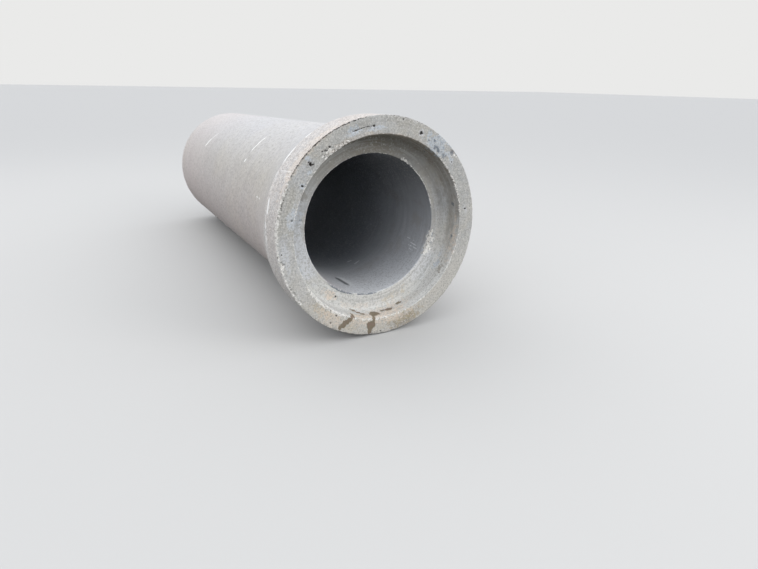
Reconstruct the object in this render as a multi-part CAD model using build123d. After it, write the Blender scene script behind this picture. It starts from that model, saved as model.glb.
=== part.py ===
from build123d import *
import math
import os

# Reinforced concrete culvert pipe with a bell at one end and a stepped spigot at the other.
# It was cast in one piece, so it is one solid: a half section turned about the pipe's axis.
# The section is drawn with X as the radius and Y as the distance from the bell's end face.
# All sizes are in millimetres.

# Waterway and barrel: a 24 inch bore with a 3 3/4 inch wall, 8 feet long as laid
bore_diameter = 609.6
wall_thickness = 95.25
laying_length = 2438.4

# Joint: the spigot of the next pipe goes into the bell's socket with a rubber ring between them
socket_depth = 101.6
annular_gap = 4.0       # between the spigot's land and the socket's straight seat
joint_gap = 3.0         # left between the bell's face and the next barrel's shoulder

# Spigot: two steps down from the barrel
land_drop = 23.0        # barrel's outside down to the land
land_length = 42.0      # land, from the barrel's shoulder to the gasket step
gasket_step = 9.5       # land down to the nose, which carries the rubber ring
step_run = 4.0          # length of each sloped step
nose_bevel = 10.0       # bevel on the nose's outer edge

# Socket: a flared mouth, a straight seat and a tapered root down to the shoulder
mouth_flare = 6.6       # how much wider the mouth is than the seat, on the radius
mouth_depth = 26.0
root_taper = 5.5        # how much narrower the root is than the seat, on the radius
root_depth = 20.0

# Bell: a straight band behind the end face, then a long taper down to the barrel
rim_width = 72.4        # end face, from the socket's mouth to the outer edge
band_length = 150.0
taper_length = 287.0

# Edges worn and rounded by the mould
face_edge_radius = 4.0
mouth_edge_radius = 3.0
band_ridge_radius = 90.0
taper_foot_radius = 400.0
bore_edge_radius = 5.0
shoulder_edge_radius = 5.0

# Where the turned surface starts, in degrees up from the +X side. It is half a step past 45 degrees, so
# that where the round is meshed in 96 steps, the pipe lies on the middle of a facet, not on a ridge.
seam_angle = 46.875

# Radii and places worked out from the sizes above
bore_r = bore_diameter / 2
barrel_r = bore_r + wall_thickness
land_r = barrel_r - land_drop
nose_r = land_r - gasket_step
seat_r = land_r + annular_gap
mouth_r = seat_r + mouth_flare
root_r = seat_r - root_taper
band_r = mouth_r + rim_width

tip_y = laying_length + socket_depth
shoulder_y = tip_y - socket_depth - joint_gap
taper_foot_y = band_length + taper_length


def section_outline():
    """Return the corners of the pipe's half section, named by place, in order round the outline.

    Returns:
        A dict from each corner's name to its radius and its distance from the bell's face.
    """
    return {
        "mouth": (mouth_r, 0),
        "face_edge": (band_r, 0),
        "band_ridge": (band_r, band_length),
        "taper_foot": (barrel_r, taper_foot_y),
        "barrel_shoulder": (barrel_r, shoulder_y),
        "land_start": (land_r, shoulder_y + step_run),
        "land_end": (land_r, shoulder_y + land_length),
        "nose_start": (nose_r, shoulder_y + land_length + step_run),
        "nose_bevel_start": (nose_r, tip_y - nose_bevel),
        "nose_bevel_end": (nose_r - nose_bevel, tip_y),
        "tip_bore": (bore_r, tip_y),
        "socket_bore": (bore_r, socket_depth),
        "root": (root_r, socket_depth),
        "seat_end": (seat_r, socket_depth - root_depth),
        "seat_start": (seat_r, mouth_depth),
    }


def section_face(corners):
    """Return the half section as a face, with its edges rounded.

    Args:
        corners: the dict of named corners that section_outline returns.

    Returns:
        A sketch that holds the face.
    """
    radii = {
        "mouth": mouth_edge_radius,
        "face_edge": face_edge_radius,
        "band_ridge": band_ridge_radius,
        "taper_foot": taper_foot_radius,
        "barrel_shoulder": shoulder_edge_radius,
        "tip_bore": bore_edge_radius,
        "socket_bore": bore_edge_radius,
    }
    with BuildSketch(Plane.XY) as section:
        with BuildLine():
            Polyline(*corners.values(), close=True)
        make_face()
        for name, radius in radii.items():
            fillet(section.vertices().sort_by_distance(corners[name])[0], radius)
    return section.sketch


def resting_pipe():
    """Return the turned pipe, lying on the floor on its bell's ridge and its barrel's far edge.

    The barrel is thinner than the bell, so the axis slopes down towards the spigot.

    Returns:
        The solid, with the middle of its footprint at the origin and its lowest point at Z = 0.
    """
    pipe = Rot(Y=-seam_angle) * revolve(section_face(section_outline()), axis=Axis.Y)
    slope = math.degrees(math.atan2(band_r - barrel_r, shoulder_y - band_length))
    pipe = Rot(X=-slope) * pipe
    box = pipe.bounding_box()
    shift = Vector(-box.center().X, -box.center().Y, -box.min.Z)
    print(f"axis slopes down towards the spigot by {slope:.4f} degrees")
    for name, along in (("bell face", 0), ("socket root", socket_depth), ("tip", tip_y)):
        place = Vector(0, along, 0).rotate(Axis.X, -slope) + shift
        print(f"{name} on the axis: X {place.X:.3f}, Y {place.Y:.3f}, Z {place.Z:.3f}")
    return Pos(shift) * pipe


os.makedirs("parts", exist_ok=True)
export_step(resting_pipe(), "parts/concrete_pipe.step")
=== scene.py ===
"""Dressed scene of a precast concrete culvert pipe that lies on a pale studio floor.

The pipe is one casting. Its visible surface is turned from the same section as the solid model. It is then
worn, chipped, pitted and stained as the real one is, and each face is finished as its mould part left it.
Some finishes and marks also carry painted shade and painted light.
"""

import logging
import math
from dataclasses import dataclass, field
from enum import Enum
from functools import partial
from typing import ClassVar

import bmesh
import bpy
from mathutils import Matrix, Vector, noise


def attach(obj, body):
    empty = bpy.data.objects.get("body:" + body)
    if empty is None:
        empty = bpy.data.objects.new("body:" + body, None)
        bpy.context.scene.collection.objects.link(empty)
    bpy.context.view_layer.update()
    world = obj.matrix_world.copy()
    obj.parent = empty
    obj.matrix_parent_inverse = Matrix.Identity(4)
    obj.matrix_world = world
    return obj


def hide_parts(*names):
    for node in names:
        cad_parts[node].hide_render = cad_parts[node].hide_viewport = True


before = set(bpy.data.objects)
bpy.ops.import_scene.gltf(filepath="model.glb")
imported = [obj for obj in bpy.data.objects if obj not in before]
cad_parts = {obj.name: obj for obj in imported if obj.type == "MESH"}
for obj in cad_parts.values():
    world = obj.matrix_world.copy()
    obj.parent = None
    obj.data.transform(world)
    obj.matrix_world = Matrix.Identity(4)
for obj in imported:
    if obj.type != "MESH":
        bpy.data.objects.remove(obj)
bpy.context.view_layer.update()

MM = 0.001
# Points that lie closer than this are one, in metres
TINY = 1e-6
# Where the pipe's axis meets the bell's end face, in the frame, in metres
FACE_CENTRE = Vector((0.0, -1.268269, 0.463720))
Node = bpy.types.Node
log = logging.getLogger("culvert_pipe")


def linear(hex_colour: str) -> tuple[float, float, float, float]:
    """Turn an sRGB hex colour into the linear colour that shaders take.

    Args:
        hex_colour: six hex digits after a hash sign.

    Returns:
        Red, green, blue and an alpha of 1.
    """
    parts = [int(hex_colour[i:i + 2], 16) / 255 for i in (1, 3, 5)]
    red, green, blue = (c / 12.92 if c <= 0.04045 else ((c + 0.055) / 1.055) ** 2.4 for c in parts)
    return red, green, blue, 1.0


def add_node(tree: bpy.types.NodeTree, kind: str, links: dict | None = None, **settings) -> Node:
    """Add a node to a tree, with its settings, and link or set its inputs.

    Args:
        tree: the tree that gets the node.
        kind: the node's type name, without the ShaderNode that it starts with.
        links: what each input takes, by its name or index: a socket, a node or a plain value. A node
            stands for its first output in use.
        settings: the node's own settings by name.

    Returns:
        The new node.
    """
    node = tree.nodes.new("ShaderNode" + kind)
    for name, value in settings.items():
        setattr(node, name, value)
    for key, source in (links or {}).items():
        if isinstance(source, Node):
            source = next(output for output in source.outputs if output.enabled)
        if isinstance(source, bpy.types.NodeSocket):
            tree.links.new(source, node.inputs[key])
        else:
            node.inputs[key].default_value = source
    return node


def empty_tree(owner: bpy.types.Material | bpy.types.World) -> bpy.types.NodeTree:
    """Clear the nodes of a material or a world.

    Args:
        owner: the material or world.

    Returns:
        Its node tree, with nothing in it.
    """
    owner.use_nodes = True
    owner.node_tree.nodes.clear()
    return owner.node_tree


def add_object(name: str, data: bpy.types.ID) -> bpy.types.Object:
    """Put an object into the scene.

    Args:
        name: its name.
        data: the mesh, lamp or camera that it shows.

    Returns:
        The object, at the origin.
    """
    made = bpy.data.objects.new(name, data)
    bpy.context.scene.collection.objects.link(made)
    return made


def smooth(value: float) -> float:
    """Return an S-shaped rise from 0 to 1 for a value from 0 to 1."""
    value = min(max(value, 0.0), 1.0)
    return value * value * (3 - 2 * value)


class Zone(Enum):
    """The faces of the casting, named for what shaped them. The values are the material slots."""

    BARREL = 0
    BAND = 1
    END_FACE = 2
    SOCKET = 3
    BORE = 4
    SPIGOT = 5


@dataclass(frozen=True)
class Spot:
    """A point of the surface.

    Attributes:
        place: where it is on the pipe's own axes, in metres.
        radius: its distance from the axis, in millimetres.
        clock: its clock angle, in degrees.
        along: its distance behind the bell's end face, in millimetres.
    """

    place: Vector
    radius: float
    clock: float
    along: float

    @classmethod
    def at(cls, place: Vector) -> "Spot":
        """Return the spot at a place on the pipe's own axes."""
        clock = math.degrees(math.atan2(place.x, place.z)) % 360.0
        return cls(place, math.hypot(place.x, place.z) / MM, clock, place.y / MM)


@dataclass(frozen=True)
class PipeSection:
    """Half section of the pipe in millimetres: radius, and distance behind the bell's end face."""

    bore_radius: float = 304.8
    barrel_radius: float = 400.05
    band_radius: float = 460.05
    mouth_radius: float = 387.65
    seat_radius: float = 381.05
    root_radius: float = 375.55
    land_radius: float = 377.05
    nose_radius: float = 367.55
    mouth_depth: float = 26.0
    seat_end: float = 81.6
    socket_depth: float = 101.6
    band_length: float = 150.0
    taper_foot: float = 437.0
    shoulder: float = 2435.4
    step_run: float = 4.0
    land_end: float = 2477.4
    nose_bevel: float = 10.0
    tip: float = 2540.0
    edge_radii: dict[str, float] = field(default_factory=lambda: {
        "mouth": 3.0, "face_edge": 4.0, "band_ridge": 90.0, "taper_foot": 400.0,
        "barrel_shoulder": 5.0, "tip_bore": 5.0, "socket_bore": 5.0,
    })
    # Stretches next to the face and to the socket whose loops of mesh lie closer
    band_front: float = 24.0
    bore_front: float = 70.0
    # Spacings of the loops of mesh
    fine: float = 5.5
    socket_spacing: float = 6.6
    nose_spacing: float = 7.7
    bore_spacing: float = 8.8
    medium: float = 11.0
    band_spacing: float = 33.0
    coarse: float = 120.0
    # How far wear and rounding carry a finish past the edge of its own face
    wear: float = 1.5
    rounding: float = 2.0
    face_depth: float = 3.0
    band_overrun: float = 12.0

    def stations(self) -> dict[str, tuple[float, float, float]]:
        """Return the corners in order round the section.

        Returns:
            For each name, the radius, the distance behind the face and the spacing of loops up to the
            next corner. Some names only part a long run into a fine and a coarse stretch.
        """
        return {
            "mouth": (self.mouth_radius, 0.0, self.fine),
            "face_edge": (self.band_radius, 0.0, self.fine),
            "band_front": (self.band_radius, self.band_front, self.medium),
            "band_ridge": (self.band_radius, self.band_length, self.band_spacing),
            "taper_foot": (self.barrel_radius, self.taper_foot, self.coarse),
            "barrel_shoulder": (self.barrel_radius, self.shoulder, self.step_run),
            "land_start": (self.land_radius, self.shoulder + self.step_run, self.medium),
            "land_end": (self.land_radius, self.land_end, self.step_run),
            "nose_start": (self.nose_radius, self.land_end + self.step_run, self.medium),
            "nose_bevel_start": (self.nose_radius, self.tip - self.nose_bevel, self.fine),
            "nose_bevel_end": (self.nose_radius - self.nose_bevel, self.tip, self.nose_spacing),
            "tip_bore": (self.bore_radius, self.tip, self.coarse),
            "bore_front": (self.bore_radius, self.socket_depth + self.bore_front, self.bore_spacing),
            "socket_bore": (self.bore_radius, self.socket_depth, self.socket_spacing),
            "root": (self.root_radius, self.socket_depth, self.socket_spacing),
            "seat_end": (self.seat_radius, self.seat_end, self.socket_spacing),
            "seat_start": (self.seat_radius, self.mouth_depth, self.socket_spacing),
        }

    def slope(self) -> float:
        """Return the angle, in radians, that the lying pipe's axis sinks by towards its spigot."""
        return math.atan2(self.band_radius - self.barrel_radius, self.shoulder - self.band_length)

    def zone(self, spot: Spot) -> Zone:
        """Name the face that a point belongs to.

        Args:
            spot: the point of the surface.

        Returns:
            The zone.
        """
        radius, along = spot.radius, spot.along
        before_spigot = self.shoulder - self.rounding
        if along < self.face_depth and radius > self.mouth_radius + self.wear:
            return Zone.END_FACE
        if radius > self.barrel_radius - self.wear and along < before_spigot:
            return Zone.BAND if along < self.band_length + self.band_overrun else Zone.BARREL
        if along > before_spigot:
            return Zone.SPIGOT if radius > self.bore_radius + self.rounding else Zone.BORE
        if along < self.socket_depth + self.rounding and radius > self.bore_radius + self.wear:
            return Zone.SOCKET
        return Zone.BORE


@dataclass(frozen=True)
class Lie:
    """How the pipe lies on the floor: on its bell's ridge and on its barrel's far edge.

    Attributes:
        face_centre: where the axis meets the bell's end face, in metres.
        slope: the angle that the axis sinks by towards the spigot, in radians.
    """

    face_centre: Vector
    slope: float

    def matrix(self) -> Matrix:
        """Return the placing from the pipe's own axes, Y along it from the end face, to the floor's."""
        return Matrix.Translation(self.face_centre) @ Matrix.Rotation(-self.slope, 4, "X")


class Effect(Enum):
    """What a mark does to the surface. The values name the mesh attributes that the finishes read."""

    DAMP = "damp"
    DUST = "dust"
    SLATE = "slate"
    SPLASH = "splash"
    CREAM = "cream"
    LIME = "lime"
    STAIN = "stain"
    INK = "ink"
    # Pale broken grain, a painted highlight along the mouth's and the bore's rounded edges, and grey painted
    # shade among crumbs
    BROKEN_AND_HIGHLIGHT = "broken"
    # Near black in air holes, cracks and the nicks of worn edges: painted shade, with dirt in the nicks
    HOLE_SHADE = "hole"


DAMP, DUST, SLATE, SPLASH, CREAM, LIME, STAIN, INK, BROKEN_AND_HIGHLIGHT, HOLE_SHADE = Effect


@dataclass(frozen=True)
class Mark:
    """A pit, chip, stain or patch, centred by clock angle, radius and distance behind the end face.

    Attributes:
        effect: what it does to the colour.
        clock: degrees clockwise from the top, seen facing the bell.
        radius: distance of its middle from the axis, in millimetres.
        half_radial: half its size towards and away from the axis, in millimetres.
        half_around: half its size round the pipe, in millimetres.
        amount: how strongly it colours, from 0 to 1.
        ragged: how uneven its outline is, as a share of its size.
        along: distance of its middle behind the end face, in millimetres.
        half_along: half its size along the pipe, in millimetres.
        depth: how deep it is broken out, in millimetres.
        passes: how often the mesh is divided there first.
        FAR: how far its ragged outline can reach, where 1 is its even outline.
        SOFT: width of its soft edge, by the same measure.
        LEAST_SIZE: size from which its outline's waves shrink no further, in millimetres.
        WAVE: size of the waves, as a share of the mark's least half size.
        CRUMBLE: how much finer waves fade, the step between them and their number.
    """

    effect: Effect
    clock: float
    radius: float
    half_radial: float
    half_around: float
    amount: float = 1.0
    ragged: float = 0.35
    along: float = 0.0
    half_along: float = 20.0
    depth: float = 0.0
    passes: int = 0
    FAR: ClassVar[float] = 1.6
    SOFT: ClassVar[float] = 0.45
    LEAST_SIZE: ClassVar[float] = 6.0
    WAVE: ClassVar[float] = 1.1
    CRUMBLE: ClassVar[tuple[float, float, int]] = (0.6, 2.2, 3)

    def reach(self, spot: Spot) -> float:
        """Return how far a point is from the mark's middle, where 1 is its even outline."""
        turn = (spot.clock - self.clock + 180.0) % 360.0 - 180.0
        return math.sqrt(((spot.radius - self.radius) / self.half_radial) ** 2
                         + (math.radians(turn) * self.radius / self.half_around) ** 2
                         + ((spot.along - self.along) / self.half_along) ** 2)

    def cover(self, spot: Spot) -> float:
        """Tell how fully the mark covers a point, with its ragged outline.

        Args:
            spot: the point of the surface.

        Returns:
            The cover, from 0 to 1.
        """
        reach = self.reach(spot)
        if reach > self.FAR:
            return 0.0
        size = max(min(self.half_radial, self.half_around, self.half_along), self.LEAST_SIZE)
        wobble = noise.fractal(spot.place / (size * MM * self.WAVE), *self.CRUMBLE) * self.ragged
        return smooth((1.0 - reach - wobble) / self.SOFT)


@dataclass(frozen=True)
class WornArris:
    """A stretch of an edge that has lost grains and small bits.

    Attributes:
        radius: the edge's distance from the axis, in millimetres.
        along: the edge's distance behind the end face, in millimetres.
        start: clock angle where the stretch starts, in degrees.
        end: clock angle where it ends, past 360 where it runs over the top.
        depth: deepest nick, in millimetres.
        width: how far from the edge the nicks reach, in millimetres.
        grain: usual length of a nick round the edge, in millimetres.
        pale: how much fresh, pale grain and painted highlight shows along it, from 0 to 1.
        dark: how much painted shade and dirt sits in its nicks, from 0 to 1.
        FADE: how far from its ends the wear fades, in degrees.
        FALL: power by which the wear falls off across its width.
        NICKS: how much finer nicks fade, the step between them and their number.
        EVEN: how much of the wear is even, beside the nicks.
        STEEP: how steeply the nicks sink in.
    """

    radius: float
    along: float
    start: float
    end: float
    depth: float
    width: float
    grain: float
    pale: float = 0.0
    dark: float = 0.0
    FADE: ClassVar[float] = 10.0
    FALL: ClassVar[float] = 1.5
    NICKS: ClassVar[tuple[float, float, int]] = (0.7, 2.1, 4)
    EVEN: ClassVar[float] = 0.12
    STEEP: ClassVar[float] = 2.2

    def nearness(self, spot: Spot) -> float:
        """Tell how near a point is to the worn edge.

        Args:
            spot: the point of the surface.

        Returns:
            The nearness: 1 on the edge, falling to 0 at its width and at the stretch's ends.
        """
        from_edge = math.hypot(spot.radius - self.radius, spot.along - self.along)
        sweep = (spot.clock - self.start) % 360.0
        span = self.end - self.start
        if from_edge > self.width or sweep > span:
            return 0.0
        ends = smooth(min(sweep, span - sweep) / min(self.FADE, span / 3))
        return ends * (1.0 - (from_edge / self.width) ** self.FALL)

    def bite(self, nearness: float, spot: Spot) -> float:
        """Return the depth lost at a point, in millimetres."""
        nick = noise.fractal(spot.place / (self.grain * MM), *self.NICKS) + self.EVEN
        return self.depth * nearness * smooth(nick * self.STEEP)


@dataclass(frozen=True)
class Weathering:
    """Everything that wear, handling and water did to the casting, read off the real pipe, with painted
    highlights on rounded edges and painted shade in holes, nicks and along the bore's edge.

    Attributes:
        section: the half section.
        waviness: greatest depth of the surface's slow unevenness, in millimetres.
        wave_size: size of its waves, in millimetres.
    """

    section: PipeSection
    waviness: float = 0.7
    wave_size: float = 170.0

    def arrises(self) -> list[WornArris]:
        """List the worn stretches of the edges.

        Returns:
            The stretches, edge by edge.
        """
        s = self.section
        # The middle of each worn edge, a little inside its corner: radius, and distance behind the end face
        rim, inner_rim, mouth = (s.band_radius - 1, 1), (s.band_radius - 10, 0), (s.mouth_radius + 1, 1)
        bore = (s.bore_radius + 1.5, s.socket_depth + 1.5)
        shoulder, nose = (s.barrel_radius - 1, s.shoulder - 1), (s.nose_radius - 5, s.tip - 5)
        # Each row gives the edge, then start, end, depth, width, grain, pale and dark
        return [WornArris(*edge, *row) for edge, *row in (
            # Outer edge: crumbling and pale at the left, nicked over the top with painted shade and dirt in
            # the nicks, crisp at the right
            (rim, 232, 303, 2.6, 14, 8, 0.78), (inner_rim, 281, 304, 1, 6, 8, 0, 0.5),
            (inner_rim, 236, 252, 1, 6, 8, 0, 0.42), (rim, 296, 356, 1.6, 8, 9, 0, 0.66),
            (rim, 350, 420, 1, 5, 9, 0, 0.4), (rim, 60, 160, 1.8, 6, 12, 0.25),
            (rim, 155, 238, 2.4, 8, 10, 0.42),
            # Edge of the socket's mouth: pale, partly where ropes and hooks rubbed it and partly as a painted
            # highlight along the rounded edge
            (mouth, 314, 343, 5, 19, 10, 0.54), (mouth, 274, 320, 1.4, 7, 12, 0.62),
            (mouth, 238, 280, 1, 5, 16, 0.4), (mouth, 200, 246, 2.4, 15, 9, 0.86),
            (mouth, 154, 206, 1.8, 10, 11, 0.5), (mouth, 340, 392, 1.2, 6, 12, 0.42),
            (mouth, 40, 92, 1.6, 9, 9, 0.66), (mouth, 88, 158, 1.4, 6, 12, 0.45),
            # Edge of the bore, broken at the right, and elsewhere a pale line that is a painted highlight
            # along the rounded edge
            (bore, 96, 121, 9, 22, 12, 0.98), (bore, 22, 44, 5, 11, 9, 0.66),
            (bore, 24, 84, 0.6, 4.5, 30, 0.74), (bore, 122, 384, 1, 4.5, 13, 0.4),
            # Spigot, all round
            (shoulder, 0, 359.9, 1.5, 9, 17, 0.16), (nose, 0, 359.9, 3.5, 10, 15, 0.18),
        )]

    def marks(self) -> list[Mark]:
        """Return the single marks. The rows of each kind follow the order of Mark's fields."""
        return self._pits() + self._patches() + self._breaks() + self._mud() + self._inside_stains()

    @staticmethod
    def _pits() -> list[Mark]:
        """List the air holes and cracks of the end face, whose dark insides are painted shade.

        Returns:
            Their marks.
        """
        # Each row gives clock, radius, both half sizes, amount, ragged, depth and passes
        holes = (
            (11, 449, 4, 4, 0.7, 0.35, 2.5, 2), (24, 424, 9, 9, 1, 0.35, 8, 2),
            (51, 421, 4, 4, 0.7, 0.35, 3, 2), (82, 417, 5, 5.5, 1, 0.35, 5, 2),
            (181, 450, 5, 5, 0.8, 0.35, 3, 1), (213, 401, 5, 5, 0.8, 0.35, 3, 1),
            (214, 440, 5, 6, 0.8, 0.35, 3, 1), (264, 442, 3.5, 3.5, 0.6, 0.35, 2, 2),
            (281.5, 400, 5.5, 5.5, 0.42, 0.35, 4, 2), (301, 403, 5.5, 5.5, 1, 0.35, 6, 2),
            (312.9, 425, 7.5, 7, 1, 0.7, 8, 2), (313.1, 415, 8, 7, 0.95, 0.8, 6, 2),
            (326.1, 416, 4.5, 5, 1, 0.35, 4, 2), (354, 420, 5.5, 6.5, 1, 0.35, 6, 2),
        )
        # Small cracks beside the crumbled mouth and at the top
        cracks = (
            (321.8, 421.5, 3.2, 8, 0.66, 0.4, 1.5, 2), (322.9, 417, 3.2, 8, 0.7, 0.4, 1.5, 2),
            (323.9, 412.5, 3.2, 8, 0.66, 0.4, 1.5, 2), (349.6, 421.5, 2.8, 34, 0.6, 0.2, 1, 2),
            (344, 420.5, 3.2, 26, 0.72, 0.3, 1.5, 2),
        )
        return [Mark(HOLE_SHADE, *shown, half_along=half_along, depth=depth, passes=passes)
                for rows, half_along in ((holes, 9.0), (cracks, 6.0)) for *shown, depth, passes in rows]

    @staticmethod
    def _patches() -> list[Mark]:
        """List the bloom, sand, damp and blue-grey paste that show on the end face.

        Returns:
            Their marks.
        """
        return [Mark(*row) for row in (
            # Pale rims of air holes, and lime that bled from them
            (DUST, 24, 424, 18, 17, 0.9), (LIME, 301, 402, 15, 15, 0.95),
            (LIME, 309.5, 405, 12, 17, 0.95, 0.6), (LIME, 313.7, 443, 12, 15, 0.95, 0.6),
            (LIME, 281, 402, 26, 56, 0.75, 0.6, 0, 30), (LIME, 288, 398, 14, 44, 0.5, 0.6, 0, 30),
            (LIME, 342, 414, 11, 44, 1, 0.5), (LIME, 355, 411, 11, 54, 0.95, 0.5),
            (SLATE, 341.5, 429, 14, 34, 0.8, 0.6), (DUST, 51, 421, 12, 14, 0.9),
            (DUST, 82, 416, 14, 26, 0.6, 0.6),
            # Crumbled, creamy lip at the upper left of the mouth
            (BROKEN_AND_HIGHLIGHT, 324.5, 400, 19, 42, 0.5, 0.9, 2, 12, 1.5, 1),
            (BROKEN_AND_HIGHLIGHT, 333, 396, 11, 36, 0.42, 0.9, 2, 12, 1, 1),
            (CREAM, 340, 397, 16, 150, 0.4, 0.5, 2, 12),
            # Blue-grey paste at the upper right of the face, with darker spots in it
            (SLATE, 37, 423, 44, 84, 0.95, 0.8), (INK, 34, 429, 7, 7, 1, 0.6),
            (INK, 30, 416, 6, 7, 0.5, 0.9), (INK, 37.5, 411, 12, 20, 0.78, 0.9),
            (INK, 44, 409, 13, 26, 0.6, 0.9), (INK, 41, 436, 8, 14, 0.4, 0.9),
            (INK, 47.6, 447, 12, 15, 0.8, 0.4, 2, 20, 4, 1),
            # Clean, pale paste at the left, damp paste at the top
            (DUST, 254, 424, 70, 190, 0.42), (DUST, 262, 428, 22, 80, 0.95), (DAMP, 10, 436, 30, 90, 0.18),
            (DUST, 305, 428, 34, 60, 0.45), (DUST, 0, 430, 34, 70, 0.3), (DAMP, 338, 436, 30, 170, 0.12),
            # Rain-splashed earth and creamy bloom low on the face and on the mouth's bevel
            (CREAM, 182, 383, 16, 170, 1, 0.4, 26, 34), (SPLASH, 194, 388, 16, 50, 0.6, 0.4, 10, 24),
            (SPLASH, 170, 388, 16, 90, 0.35, 0.6, 10, 24), (CREAM, 216, 424, 40, 90, 0.6, 0.6),
            (CREAM, 195, 404, 24, 90, 0.6, 0.9), (CREAM, 172, 400, 18, 110, 0.7, 0.9),
            (SPLASH, 221, 418, 30, 70, 0.65, 0.9), (SPLASH, 200, 424, 30, 44, 0.5, 0.9),
            (SPLASH, 184, 422, 30, 30, 0.4, 0.9), (SPLASH, 166, 418, 36, 100, 0.7, 0.9),
            (DAMP, 165, 426, 40, 100, 0.75), (SPLASH, 322, 420, 22, 46, 0.3, 0.9),
            # Cream sand that shows on the band, next to the outer edge
            (CREAM, 318, 460, 14, 270, 0.5, 0.6, 22, 46),
        )]

    def _breaks(self) -> list[Mark]:
        """List the bits broken off the rim's outer edge and off the bore's edge.

        Returns:
            Their marks.
        """
        root = self.section.socket_depth
        return [Mark(BROKEN_AND_HIGHLIGHT, *row) for row in (
            (49.8, 453, 8, 12, 0.75, 0.6, 0, 10, 3, 1), (258, 449, 13, 17, 0.95, 0.7, 0, 9, 5, 1),
            (243.5, 454, 10, 17, 0.85, 0.7, 0, 9, 5, 1), (236, 452, 8, 14, 0.7, 0.7, 0, 8, 3, 1),
            (187, 458, 8, 20, 0.6, 0.7, 0, 8, 3, 1), (106, 315, 26, 40, 1, 0.9, root, 20, 4, 2),
            (115, 315, 22, 36, 0.95, 0.9, root, 16, 3, 2),
            (32, 310, 13, 28, 0.85, 0.9, root + 2, 12, 3, 2),
        )]

    def _mud(self) -> list[Mark]:
        """List the muddy water that lay in the socket and ran down over the mouth.

        Returns:
            Its marks.
        """
        seat = self.section.seat_radius
        return [Mark(STAIN, *row) for row in (
            # Where it lay on the seat, from left to right
            (197, seat, 12, 9, 0.8, 0.3, 98, 9), (195.4, seat, 14, 15, 1, 0.2, 86, 13),
            (193.2, seat, 14, 15, 1, 0.2, 68, 14), (191, seat, 14, 15, 1, 0.2, 50, 13),
            (183, seat, 14, 28, 1, 0.2, 44, 31), (175.6, seat, 14, 23, 0.9, 0.2, 58, 9.5),
            (171.2, seat, 14, 23, 1, 0.25, 51, 15), (162, seat, 14, 17, 0.95, 0.35, 68, 13),
            # The right run, over the mouth and down the face
            (185.2, seat + 2, 14, 8.5, 0.85, 0.15, 22, 32), (186.2, 391, 18, 9, 0.85, 0.1, 3, 18),
            (187.8, 414, 24, 28, 1, 0.12, 0, 14), (188, 438, 32, 12, 1, 0.12),
            # The left run
            (200.6, seat + 2, 14, 10, 0.85, 0.15, 20, 30), (202.2, 389, 20, 8.5, 1, 0.1, 3, 18),
            (203.9, 406, 22, 12, 1, 0.15, 0, 14), (205.6, 424, 24, 15, 1, 0.2, 0, 14),
            (206.8, 440, 24, 15, 0.8, 0.4),
        )]

    def _inside_stains(self) -> list[Mark]:
        """List the stains, lime and dust inside the socket and at the bore's edge.

        Returns:
            Their marks.
        """
        seat, root = self.section.seat_radius, self.section.socket_depth
        return [Mark(*row) for row in (
            # Damp, brown wall at the upper right, and a lighter bevel over it, its cream at the top a painted
            # highlight where the bevel is lit
            (DAMP, 50, seat, 20, 330, 0.55, 0.35, 50, 60),
            (DAMP, 68, seat + 3, 14, 190, 0.65, 0.35, 14, 30),
            (DAMP, 98, seat, 14, 130, 0.36, 0.6, 50, 50), (DAMP, 343, seat, 20, 150, 0.7, 0.35, 50, 70),
            (DAMP, 64, 345, 40, 170, 0.35, 0.6, root), (CREAM, 8, 385, 12, 230, 0.42, 0.4, 6, 16),
            (STAIN, 70, seat + 4, 14, 60, 0.2, 0.9, 6, 10),
            (STAIN, 99, seat + 2, 14, 60, 0.2, 0.9, 24, 22),
            (CREAM, 103, seat + 2, 14, 110, 0.6, 0.9, 26, 30), (INK, 79, seat, 14, 15, 0.8, 0.7, 45, 15),
            (INK, 101, seat, 12, 12, 0.7, 0.9, 41, 9), (STAIN, 124, seat, 14, 34, 0.5, 0.9, 34),
            (INK, 36, seat, 12, 12, 0.75, 0.7, 55, 10), (LIME, 122, seat, 14, 30, 0.75, 0.9, 69, 18),
            (LIME, 114, seat, 14, 34, 0.55, 0.9, 78, 14),
            # Dry, pale and bluish at the left and below
            (DUST, 262, 350, 60, 230, 0.95, 0.35, root - 10, 80),
            (CREAM, 172, seat, 16, 150, 0.5, 0.5, 50, 60), (DUST, 126, 345, 50, 130, 0.6, 0.4, root, 70),
            (LIME, 246, 374, 18, 90, 0.55, 0.9, root - 30, 40),
            (CREAM, 216, 346, 26, 44, 0.9, 0.4, root, 12), (SPLASH, 216, 344, 22, 34, 0.42, 0.4, root, 12),
            (SPLASH, 160, 356, 24, 70, 0.55, 0.9, root - 6),
            (CREAM, 192, 362, 18, 110, 0.4, 0.6, root - 6, 16),
            # Thin dark lines along the bore's edge, painted shadow of a small ledge there, and the spots
            # beside it
            (INK, 211, 309, 7, 96, 1, 0.15, root, 10, 0, 1),
            (INK, 186, 307.5, 6, 76, 0.8, 0.2, root + 1, 8, 0, 1),
            (HOLE_SHADE, 211, 342, 6, 5, 0.95, 0.35, root, 9, 2, 1), (INK, 280, 326, 9, 9, 0.6, 0.35, root, 9),
            (LIME, 280, 340, 30, 44, 0.55, 0.5, root, 40),
            (DAMP, 299, 360, 30, 60, 0.6, 0.8, root - 10, 40),
        )]


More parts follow.
